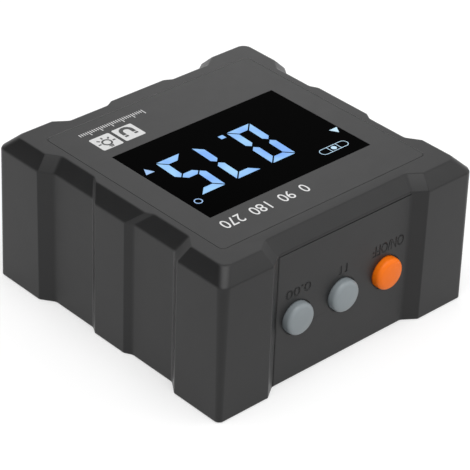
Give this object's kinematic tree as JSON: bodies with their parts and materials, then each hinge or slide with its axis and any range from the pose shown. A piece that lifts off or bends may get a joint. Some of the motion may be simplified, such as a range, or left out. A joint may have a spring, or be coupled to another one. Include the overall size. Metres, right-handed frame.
{
  "type": "digital angle gauge",
  "caption": "Square dark grey digital angle gauge lying on its back, with a black display face, a row of push buttons on one side and magnets behind its corner pads.",
  "frame": {"origin": "middle of the back face, which the gauge lies on", "axes": "+Z out of the display, +Y to the side with the buttons, +X to the reader's right"},
  "size_m": [0.06, 0.06, 0.0295],
  "materials": {
    "housing_plastic": "satin",
    "panel_print": "matte",
    "display_black": "gloss",
    "display_glass": "gloss",
    "clear_plastic": "gloss",
    "lamp_plastic": "gloss",
    "frame_plastic": "matte",
    "strip_rubber": "matte",
    "board_green": "satin",
    "chip_black": "matte",
    "stem_plastic": "matte",
    "button_orange": "satin",
    "button_grey": "satin",
    "cover_plastic": "satin",
    "battery_metal": "satin",
    "contact_steel": "satin",
    "magnet_nickel": "polished",
    "screw_steel": "satin"
  },
  "bodies": {
    "root": {"housing": "housing_plastic", "face_panel": "panel_print", "display_window": "display_black", "display_cell": "display_glass", "light_guide": "clear_plastic", "backlight_lamps": "lamp_plastic", "display_frame": "frame_plastic", "upper_contact_strip": "strip_rubber", "lower_contact_strip": "strip_rubber", "main_board": "board_green", "processor_chip": "chip_black", "tilt_sensor": "chip_black", "back_cover": "cover_plastic", "lower_battery": "battery_metal", "upper_battery": "battery_metal", "lower_spring": "contact_steel", "upper_spring": "contact_steel", "minus_contact": "contact_steel", "plus_contact": "contact_steel", "link_contact": "contact_steel", "case_screws": "screw_steel", "board_screws": "screw_steel", "power_switch": "chip_black", "hold_switch": "chip_black", "zero_switch": "chip_black", "right_magnet_1": "magnet_nickel", "right_magnet_2": "magnet_nickel", "top_magnet_1": "magnet_nickel", "top_magnet_2": "magnet_nickel", "left_magnet_1": "magnet_nickel", "left_magnet_2": "magnet_nickel", "base_magnet_1": "magnet_nickel", "base_magnet_2": "magnet_nickel"},
    "power_key": {"power_button": "button_orange", "power_stem": "stem_plastic"},
    "hold_key": {"hold_button": "button_grey", "hold_stem": "stem_plastic"},
    "zero_key": {"zero_button": "button_grey", "zero_stem": "stem_plastic"},
    "door": {"battery_door": "cover_plastic"}
  },
  "joints": [
    {"name": "power_press", "type": "slide", "parent": "root", "child": "power_key", "axis": [0, -1, 0], "range_m": [0, 0.0005], "stiffness_N_per_m": 2000, "springref_m": -0.0001},
    {"name": "hold_press", "type": "slide", "parent": "root", "child": "hold_key", "axis": [0, -1, 0], "range_m": [0, 0.0005], "stiffness_N_per_m": 2000, "springref_m": -0.0001},
    {"name": "zero_press", "type": "slide", "parent": "root", "child": "zero_key", "axis": [0, -1, 0], "range_m": [0, 0.0005], "stiffness_N_per_m": 2000, "springref_m": -0.0001},
    {"name": "door_swing", "type": "hinge", "parent": "root", "child": "door", "pos_m": [0, -0.0111, 0.001], "axis": [-1, 0, 0], "range_deg": [0, 75]}
  ]
}
